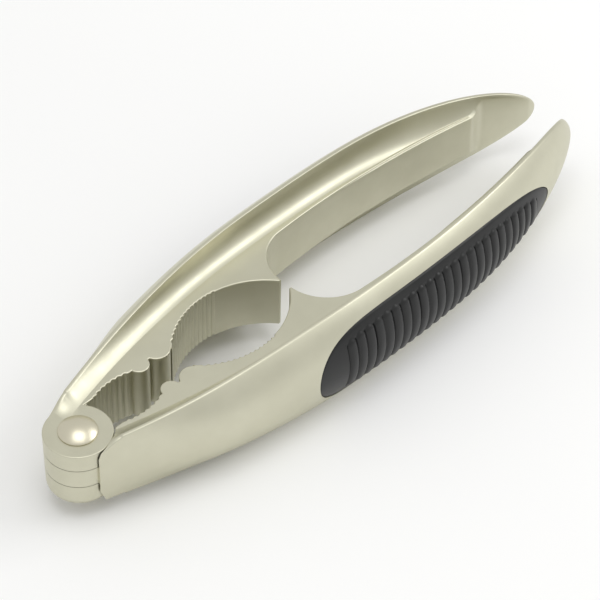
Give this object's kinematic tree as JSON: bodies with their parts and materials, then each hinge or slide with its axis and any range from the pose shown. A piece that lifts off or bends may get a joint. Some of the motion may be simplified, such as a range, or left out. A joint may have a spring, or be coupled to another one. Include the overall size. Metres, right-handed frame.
{
  "type": "nutcracker",
  "caption": "Plier-type nutcracker: two die-cast levers on one rivet, with fluted jaws for small and large nuts and ribbed rubber grips.",
  "frame": {"origin": "on the pivot axis, halfway through the thickness of the levers", "axes": "+X from the pivot to the handle tips along the centre plane, +Y towards the fork lever, +Z along the rivet towards its domed head"},
  "size_m": [0.1748, 0.0536, 0.0282],
  "materials": {
    "lever_metal": "satin",
    "grip_rubber": "matte",
    "rivet_steel": "satin"
  },
  "bodies": {
    "fork": {"fork_lever": "lever_metal", "fork_grip": "grip_rubber", "rivet": "rivet_steel"},
    "tongue": {"tongue_lever": "lever_metal", "tongue_grip": "grip_rubber"}
  },
  "joints": [
    {"name": "pivot", "type": "hinge", "parent": "fork", "child": "tongue", "pos_m": [0, 0, 0], "axis": [0, 0, 1], "range_deg": [-110, 2.5]}
  ]
}
